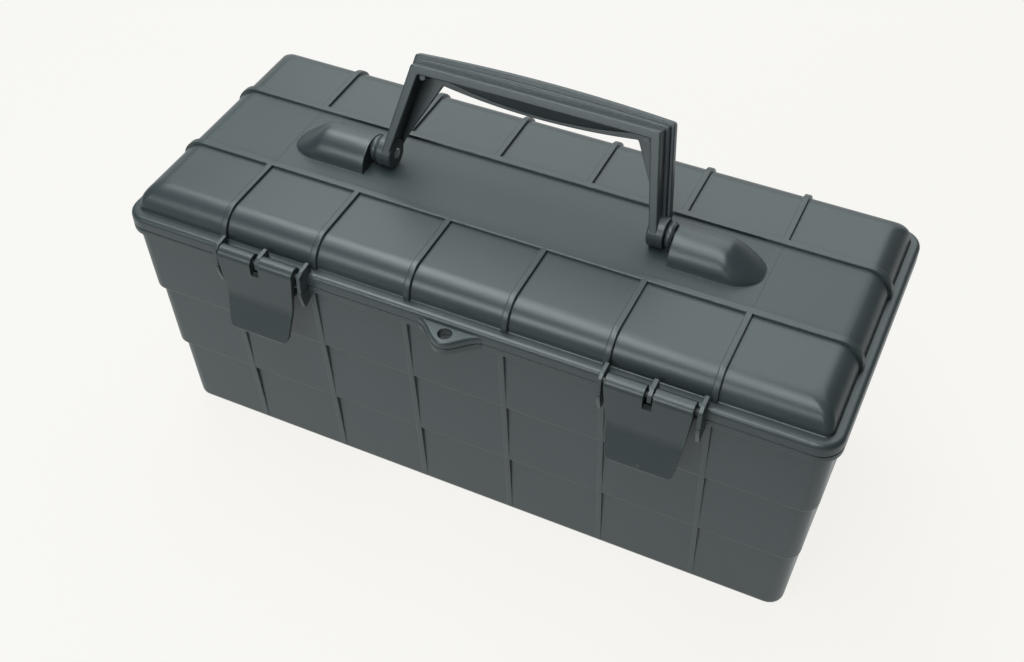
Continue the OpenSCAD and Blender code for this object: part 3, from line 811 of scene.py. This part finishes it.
def build_handle():
    """The bail with its hubs, the two collars and the two headed pins."""
    finish = material_of("moulded polypropylene, handle")
    steel = material_of("drawn steel, pins")
    r = HUB_R + 0.2
    hub = [(HUB_IN - 0.9, BORE_R), (HUB_IN - 0.9, r - 1.0), (HUB_IN - 0.6, r - 0.4), (HUB_IN, r),
           (FOOT_X - 0.9, r), (FOOT_X - 0.3, r - 0.3), (FOOT_X, r - 0.9), (FOOT_X, BORE_R)]
    hub = turned(hub, 0, PIVOT_Z, 56)
    stub_x, stub_s, stub_r, stubs = 65.3, 47.4, 1.7, []
    for side in SIDES:
        ring = arc(side * stub_x, stub_s, stub_r, 0, 345, 23)
        stubs.append(loft([[bail_place(x, s, d) for x, s in ring] for d in (-7.0, 6.4)]))
    whole = as_object("handle_bail", together(bail(), hub, mirrored(hub), *stubs))
    finished(whole, finish, "handle_plastic", "handle", "handle")

    c0, c1, r = FOOT_X + 0.5, FOOT_X + 4.3, 7.4
    edge = [(0, BORE_R), (0, r - 1.0), (0.5, r - 0.6), (0.9, r - 0.5), (1.1, r - 0.1), (1.5, r)]
    collar = turned([(c0 + a, b) for a, b in edge] + [(c1 - a, b) for a, b in reversed(edge)],
                    0, PIVOT_Z, 48)
    head, tail = HUB_IN - 0.2, BOSS_X + WALL
    pin_line = [(head - 1.4, 0.05), (head - 1.4, 1.6), (head - 1.1, 2.7), (head - 0.5, 3.2),
                (head - 0.1, 3.25), (head, 3.2), (head, PIN_R), (tail + 0.3, PIN_R), (tail + 0.3, 3.0),
                (tail + 0.9, 3.2), (tail + 1.8, 3.0), (tail + 2.4, 2.2), (tail + 2.4, 0.05)]
    pin = loft([[(x, r * cos(2 * pi * k / 32), PIVOT_Z + r * sin(2 * pi * k / 32)) for k in range(32)]
                for x, r in pin_line])
    for side, collar_solid, pin_solid in (("left", mirrored(collar), mirrored(pin)), ("right", collar, pin)):
        finished(as_object(f"collar_{side}", collar_solid), finish, "handle_plastic", "lid",
                 f"handle_collar_{side}")
        finished(as_object(f"bail_pin_{side}", pin_solid), steel, "pin_steel", "lid", f"handle_pin_{side}")


# ---- the latches ----

def latch_outline():
    """Side outline of a latch: tab, bend, plate and knuckle."""
    face, half = LATCH_Y - KNUCKLE_R, 1.3
    lean = atan2(FLARE, BEND_Z - LOW_Z)
    middle = [(face + half, LATCH_Z, 0.0)]
    for k in range(7):
        t = k / 6
        angle = lean * t
        middle.append((face + half - 3.2 * t * t * sin(lean), BEND_Z + 3.2 - 6.4 * t, angle))
    for drop in (4, 8, 12, 14, 15.8, 17.0, 18.0):
        middle.append((middle[7][0] - sin(lean) * drop, middle[7][1] - cos(lean) * drop, lean))
    outer = [(y - half * cos(a), z + half * sin(a)) for y, z, a in middle]
    inner = [(y + half * cos(a), z - half * sin(a)) for y, z, a in middle]
    tip_y, tip_z, tip_a = middle[-1]
    tip = [(tip_y - half * cos(tip_a + b), tip_z + half * sin(tip_a + b))
           for b in (radians(-45), radians(-90), radians(-135))]
    knuckle = arc(LATCH_Y, LATCH_Z, KNUCKLE_R, 180, -117.3, 36)
    return knuckle[1:] + inner[1:] + tip[::-1] + outer[:0:-1] + [knuckle[0]]


def latch_half_width(z):
    """Half width of a latch at a height: tapering, with round lower corners."""
    top, bend, foot, corner = 23.5, 21.0, 18.5, 4.2
    if z > LATCH_Z - 5:
        return top
    if z > BEND_Z:
        return bend + (top - bend) * (z - BEND_Z) / (LATCH_Z - 5 - BEND_Z)
    side = foot + (bend - foot) * (z - LOW_Z) / (BEND_Z - LOW_Z)
    drop = max(LOW_Z + corner - z, 0)
    return side - corner + sqrt(max(corner ** 2 - min(drop, corner * 0.98) ** 2, 0))


def latch_body(x):
    """The latch as a solid, before its slot and bore are cut."""
    outline = latch_outline()
    rings = []
    for rise, inset in ramp(0.5, 3):
        rings.append([(x - latch_half_width(z) + rise, y, zz) for (y, zz), (_, z) in
                      zip(shrunk(outline, inset), outline)])
    for rise, inset in reversed(ramp(0.5, 3)):
        rings.append([(x + latch_half_width(z) - rise, y, zz) for (y, zz), (_, z) in
                      zip(shrunk(outline, inset), outline)])
    return loft(rings)


def build_latches():
    """Both latches, slotted round the middle ear and bored for the pin."""
    finish = material_of("moulded polypropylene, latch")
    face = LATCH_Y - KNUCKLE_R
    for side, name in ((-1, "left"), (1, "right")):
        x = side * STATION_X
        slot = softened([(x - 2.6, 153.0, 0.6), (x + 2.6, 153.0, 0.6), (x + 2.6, 170, 0), (x - 2.6, 170, 0)])
        slot = as_object("slot", slab(slot, -105, -85, 0.01, facing))
        bore = as_object("bore", rod(x - 40, x + 40, LATCH_BORE_R, LATCH_Y, LATCH_Z))
        plate = carved(as_object("plate", latch_body(x)), slot, bore)
        hook = softened([(face + 1.8, 141.1, 0), (-88.3, 141.1, 0.4), (-87.6, 143.2, 0.4),
                         (-87.6, 144.6, 0.3), (face + 1.8, 144.6, 0)])
        hook = slab(hook, x - 20, x + 20, 0.4, across)
        gate = slab(oblong(x - 0.9, 115.2, x + 0.9, 116.6), -102.4, -100.4, 0.2, facing)
        whole = merged(f"latch_plate_{name}", plate, as_object("hook", hook), as_object("gate", gate))
        finished(whole, finish, "latch_plastic", f"latch_{name}", f"latch_{name}")


# ---- the tray ----

def build_tray():
    """Lift-out tray with cross walls and a bridge handle."""
    finish = material_of("moulded polypropylene, tray")
    x, y, z, top, wall, r = TRAY_X, TRAY_Y, TRAY_Z, TRAY_Z + TRAY_H, TRAY_WALL, TRAY_R
    box = loft([level(x - inset, y - inset, r - less, height) for inset, less, height in (
        (2, 1.4, z), (0.6, 0.4, z + 0.6), (0, 0, z + 2), (0, 0, top - 0.6), (0.3, 0.2, top - 0.1),
        (0.9, 0.9, top), (1.5, 1.5, top - 0.1), (wall, wall, top - 0.6), (wall, wall, z + wall + 2),
        (wall + 0.6, wall + 0.5, z + wall + 0.6), (wall + 2, wall + 1.5, z + wall))])
    low = z + TRAY_H * 0.8
    walls = [slab(oblong(y0, z + 1, y1, low), at - wall / 2, at + wall / 2, 0.5, across)
             for at, y0, y1 in ((-x / 3, -y + 1, 0), (x / 3, -y + 1, 0), (0.24 * x, 0, y - 1))]
    walls.append(slab(oblong(-x + 1, z + 1, x - 1, low), -wall / 2, wall / 2, 0.5, facing))
    body = as_object("box", together(box, *walls))
    bridge = softened([(-55, z + 1, 0), (55, z + 1, 0), (55, top + 10, 7), (-55, top + 10, 7)], 6)
    hole = softened([(-48, low + 1, 3), (48, low + 1, 3), (48, low + 12.4, 4), (-48, low + 12.4, 4)], 5)
    grip = carved(as_object("grip", slab(bridge, -3, 3, 1.2, facing)),
                  as_object("hole", slab(hole, -9, 9, 0.01, facing)))
    finished(merged("tray_body", body, grip), finish, "tray_plastic", "tray", "tray")


def coat_pins():
    """The carried-over pins of latches and hinges get their blackened steel."""
    steel = material_of("blackened steel, pins")
    for name in ("latch_pin_left", "latch_pin_right", "hinge_pin_left", "hinge_pin_right"):
        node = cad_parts[name]
        for slot in node.material_slots:
            slot.material = steel
        if not node.material_slots:
            node.data.materials.append(steel)


# ---- stage ----

def pale_ground():
    """Seamless paper: an even pale tone with a soft shadow for the camera, a painted pool of light in
    reflections (an emission that glows brightest near the case and falls off away from it), and plain lit
    paper for the light it bounces."""
    material, tree, place = blank_material("seamless paper")
    paper = add(tree, "ShaderNodeBsdfDiffuse", in_Color=(*linear(PAPER), 1))
    glow = add(tree, "ShaderNodeEmission", in_Strength=1.0, in_Color=(*linear(PALE), 1))
    blend = add(tree, "ShaderNodeMixShader", {1: paper.outputs[0], 2: glow.outputs[0]}, in_Fac=0.94)
    # painted pool of light: in reflections the floor glows, brightest near the case and fading off away from
    # it
    reach = add(tree, "ShaderNodeVectorMath", {0: place}, operation="DISTANCE")
    reach.inputs[1].default_value = (-0.3, 0.5, 0.0)
    far = add(tree, "ShaderNodeEmission",
              {"Strength": ranged(tree, reach.outputs["Value"], 0.8, 1.2, 1.0, 0.2)},
              in_Color=(*linear(PAPER), 1))
    rays = add(tree, "ShaderNodeLightPath").outputs
    mirror = maths(tree, "MAXIMUM", rays["Is Glossy Ray"], rays["Is Transmission Ray"])
    paper_and_painted_glow = add(tree, "ShaderNodeMixShader", {"Fac": mirror, 1: paper.outputs[0], 2: far.outputs[0]})
    seen = add(tree, "ShaderNodeMixShader",
               {"Fac": rays["Is Camera Ray"], 1: paper_and_painted_glow.outputs[0], 2: blend.outputs[0]})
    add(tree, "ShaderNodeOutputMaterial", {"Surface": seen.outputs[0]})
    return material


def build_stage():
    """Floor, soft light, world and the photo's camera."""
    floor_r, drop = 3.0, 0.0004
    angles = [2 * pi * k / 64 for k in range(64)]
    mesh = bpy.data.meshes.new("floor")
    mesh.from_pydata([(floor_r * cos(a), floor_r * sin(a), -drop) for a in angles], [], [tuple(range(64))])
    floor = placed("floor", mesh)
    mesh.materials.append(pale_ground())

    for name, place, size, energy in (
            ("back softbox", (-0.15, 0.85, 1.25), (1.6, 1.3), 17.5),
            ("overhead softbox", (-0.25, -0.2, 1.4), (1.9, 0.46), 25.0),
            ("front softbox", (-0.4, -1.36, 0.78), (1.0, 0.36), 12.5)):
        lamp = bpy.data.lights.new(name, "AREA")
        lamp.shape = "RECTANGLE"
        lamp.size, lamp.size_y = size
        lamp.color = linear(LAMP)
        lamp.energy = energy
        aim = (Vector((0, 0, 0.1)) - Vector(place)).to_track_quat("-Z", "Y")
        placed(name, lamp).matrix_world = Matrix.Translation(place) @ aim.to_matrix().to_4x4()

    world = bpy.data.worlds.new("studio")
    world.use_nodes = True
    bpy.context.scene.world = world
    tree = world.node_tree
    tree.nodes.clear()
    rays = add(tree, "ShaderNodeLightPath")
    way = add(tree, "ShaderNodeTexCoord").outputs["Generated"]
    high = add(tree, "ShaderNodeSeparateXYZ", {0: way}).outputs["Z"]
    rear = add(tree, "ShaderNodeVectorMath", {0: way}, operation="DOT_PRODUCT")
    rear.inputs[1].default_value = (-0.35, 0.937, 0.0)
    backdrop = maths(tree, "MULTIPLY", ranged(tree, rear.outputs["Value"], 0.5, 0.85, 0.0, 0.95),
                     ranged(tree, high, 0.3, 0.5, 1.0, 0.0))
    total = maths(tree, "ADD", backdrop, ranged(tree, high, 0.0, 0.25, 0.2, 0.05))
    room = add(tree, "ShaderNodeBackground", {"Strength": total}, in_Color=(*linear(ROOM), 1))
    wall = add(tree, "ShaderNodeBackground", in_Strength=1.0, in_Color=(*linear(PALE), 1))
    mix = add(tree, "ShaderNodeMixShader",
              {"Fac": rays.outputs["Is Camera Ray"], 1: room.outputs[0], 2: wall.outputs[0]})
    add(tree, "ShaderNodeOutputWorld", {"Surface": mix.outputs[0]})

    camera = bpy.data.cameras.new("camera")
    camera.sensor_width = 36.0
    camera.lens = 47.2705
    camera.shift_x, camera.shift_y = -0.0019, 0.00393
    camera.clip_start, camera.clip_end = 0.05, 20
    holder = placed("camera", camera)
    right, up, back = ((0.905594, 0.424134, -0.002752), (-0.301251, 0.64776, 0.699754),
                       (0.298572, -0.632865, 0.714379))
    turn = Matrix((right, up, back)).transposed().to_4x4()
    holder.matrix_world = Matrix.Translation((0.24085, -0.518956, 0.6515)) @ turn
    bpy.context.scene.camera = holder
    bpy.context.scene.view_settings.view_transform = "Standard"


# ---- add-on ----

class ToolCaseSizes(bpy.types.PropertyGroup):
    """Sizes that a user would change."""
    rib_pitch: FloatProperty(name="Rib pitch", description="Spacing of the cross ribs", default=0.057,
                             unit="LENGTH")
    rib_width: FloatProperty(name="Rib width", description="Width of a rib", default=0.0036, unit="LENGTH")
    long_rib_width: FloatProperty(name="Long rib width", description="Width of a rib along the lid",
                                  default=0.0042, unit="LENGTH")
    rib_height: FloatProperty(name="Rib height", description="How far the lid's ribs stand proud",
                              default=0.0018, unit="LENGTH")
    dome_round: FloatProperty(name="Dome rounding", description="Radius of the lid's rolled edge",
                              default=0.0138, unit="LENGTH")
    grip_arch: FloatProperty(name="Grip arch", description="Rise of the grip's back ridge",
                             default=0.0026, unit="LENGTH")


class ToolCaseFinish(bpy.types.PropertyGroup):
    """Colours and surface of the mouldings."""
    case_colour: FloatVectorProperty(name="Case", description="Colour of bin and lid", subtype="COLOR",
                                     size=3, default=linear("#2d3436"))
    latch_colour: FloatVectorProperty(name="Latches", description="Colour of the latches",
                                      subtype="COLOR", size=3, default=linear("#282f31"))
    handle_colour: FloatVectorProperty(name="Handle", description="Colour of handle and collars",
                                       subtype="COLOR", size=3, default=linear("#2e3437"))
    tray_colour: FloatVectorProperty(name="Tray", description="Colour of the tray", subtype="COLOR",
                                     size=3, default=linear("#373e40"))
    steel_colour: FloatVectorProperty(name="Pins", description="Colour of the steel pins",
                                      subtype="COLOR", size=3, default=linear("#c4c6c8"))
    black_steel_colour: FloatVectorProperty(name="Black pins", description="Colour of the blackened pins",
                                            subtype="COLOR", size=3, default=linear("#1f2122"))
    roughness: FloatProperty(name="Roughness", description="Roughness of the mouldings", default=0.37,
                             min=0, max=1, subtype="FACTOR")
    grain: FloatProperty(name="Grain", description="Size of the moulded grain", default=0.0007,
                         unit="LENGTH")


class TOOLCASE_OT_bin(bpy.types.Operator):
    """Build the tapered bin"""
    bl_idname = "tool_case.bin"
    bl_label = "Bin"

    def execute(self, context):
        build_bin()
        return {"FINISHED"}


class TOOLCASE_OT_lid(bpy.types.Operator):
    """Build the domed lid"""
    bl_idname = "tool_case.lid"
    bl_label = "Lid"

    def execute(self, context):
        build_lid()
        return {"FINISHED"}


class TOOLCASE_OT_handle(bpy.types.Operator):
    """Build the bail handle, its collars and its pins"""
    bl_idname = "tool_case.handle"
    bl_label = "Handle"

    def execute(self, context):
        build_handle()
        return {"FINISHED"}


class TOOLCASE_OT_latches(bpy.types.Operator):
    """Build both latches"""
    bl_idname = "tool_case.latches"
    bl_label = "Latches"

    def execute(self, context):
        build_latches()
        return {"FINISHED"}


class TOOLCASE_OT_tray(bpy.types.Operator):
    """Build the lift-out tray"""
    bl_idname = "tool_case.tray"
    bl_label = "Tray"

    def execute(self, context):
        build_tray()
        return {"FINISHED"}


class TOOLCASE_OT_pins(bpy.types.Operator):
    """Give the latch and hinge pins their steel"""
    bl_idname = "tool_case.pins"
    bl_label = "Pins"

    def execute(self, context):
        coat_pins()
        return {"FINISHED"}


class TOOLCASE_OT_stage(bpy.types.Operator):
    """Set up floor, light and camera"""
    bl_idname = "tool_case.stage"
    bl_label = "Stage"

    def execute(self, context):
        build_stage()
        return {"FINISHED"}


class TOOLCASE_PT_panel(bpy.types.Panel):
    """Sidebar panel that lists the pieces"""
    bl_label = "Tool case"
    bl_idname = "TOOLCASE_PT_panel"
    bl_space_type = "VIEW_3D"
    bl_region_type = "UI"
    bl_category = "Tool case"

    def draw(self, context):
        for group in (context.scene.tool_case_sizes, context.scene.tool_case_finish):
            for key in group.__annotations__:
                self.layout.prop(group, key)
        for operator in OPERATORS:
            self.layout.operator(operator.bl_idname)


OPERATORS = (TOOLCASE_OT_bin, TOOLCASE_OT_lid, TOOLCASE_OT_handle, TOOLCASE_OT_latches,
             TOOLCASE_OT_tray, TOOLCASE_OT_pins, TOOLCASE_OT_stage)
CLASSES = (ToolCaseSizes, ToolCaseFinish, *OPERATORS, TOOLCASE_PT_panel)


def register():
    for item in CLASSES:
        bpy.utils.register_class(item)
    bpy.types.Scene.tool_case_sizes = PointerProperty(type=ToolCaseSizes)
    bpy.types.Scene.tool_case_finish = PointerProperty(type=ToolCaseFinish)


def unregister():
    del bpy.types.Scene.tool_case_finish
    del bpy.types.Scene.tool_case_sizes
    for item in reversed(CLASSES):
        bpy.utils.unregister_class(item)


def main():
    """Build every piece, then the stage."""
    register()
    bpy.ops.tool_case.bin()
    bpy.ops.tool_case.lid()
    bpy.ops.tool_case.handle()
    bpy.ops.tool_case.latches()
    bpy.ops.tool_case.tray()
    bpy.ops.tool_case.pins()
    bpy.ops.tool_case.stage()


if __name__ == "__main__":
    main()
